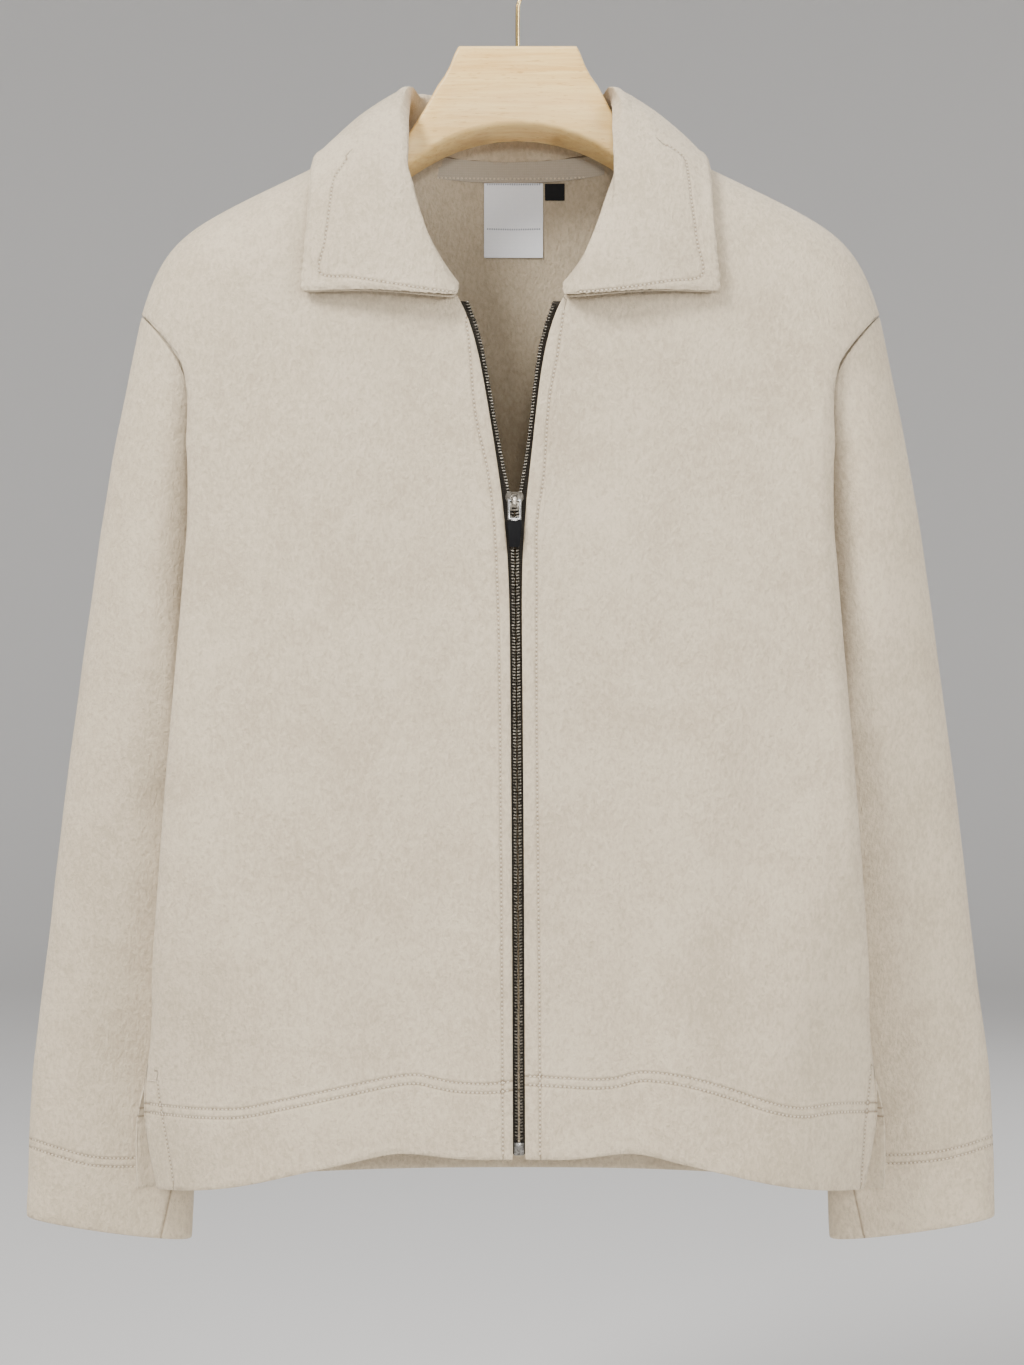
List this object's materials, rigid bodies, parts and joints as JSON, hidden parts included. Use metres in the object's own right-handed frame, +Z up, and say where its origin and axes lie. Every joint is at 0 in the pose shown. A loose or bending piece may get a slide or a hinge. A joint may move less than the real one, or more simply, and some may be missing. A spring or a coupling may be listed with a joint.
{
  "type": "suede jacket on a wooden hanger",
  "caption": "Cream faux-suede zip jacket with a pointed fold-over collar, hanging open at the neck on a pale wooden hanger with a brass hook.",
  "frame": {"origin": "point inside the top of the hanger hook's bend, where the hook rests on its rail", "axes": "+Z up, along the body's length; +Y from the jacket's front to its back; +X to the viewer's right, the wearer's left"},
  "size_m": [0.6484, 0.1283, 0.8688],
  "materials": {
    "suede": "brushed nap",
    "neck_tape": "woven",
    "white_label": "woven satin",
    "black_label": "woven satin",
    "zip_tape": "woven",
    "zip_teeth": "antique",
    "zip_metal": "antique nickel",
    "rubber": "matt",
    "wood": "clear satin",
    "hook_brass": "polished"
  },
  "bodies": {
    "jacket": {"front_right": "suede", "front_left": "suede", "back": "suede", "sleeve_right": "suede", "sleeve_left": "suede", "collar_upper": "suede", "collar_under": "suede", "neck_tape": "neck_tape", "label_main": "white_label", "label_size": "black_label", "zip_tape_right": "zip_tape", "zip_tape_left": "zip_tape", "zip_chain_right": "zip_teeth", "zip_chain_left": "zip_teeth", "zip_slider": "zip_metal", "zip_bottom_stop": "zip_metal", "hanger_body": "wood", "hanger_hook": "hook_brass"},
    "zip_pull": {"zip_pull_link": "zip_metal", "zip_pull_grip": "rubber"}
  },
  "joints": [
    {"name": "pull_swing", "type": "hinge", "parent": "jacket", "child": "zip_pull", "pos_m": [-0.002, -0.0571, -0.3814], "axis": [-1, 0, 0], "range_deg": [0, 150]}
  ]
}
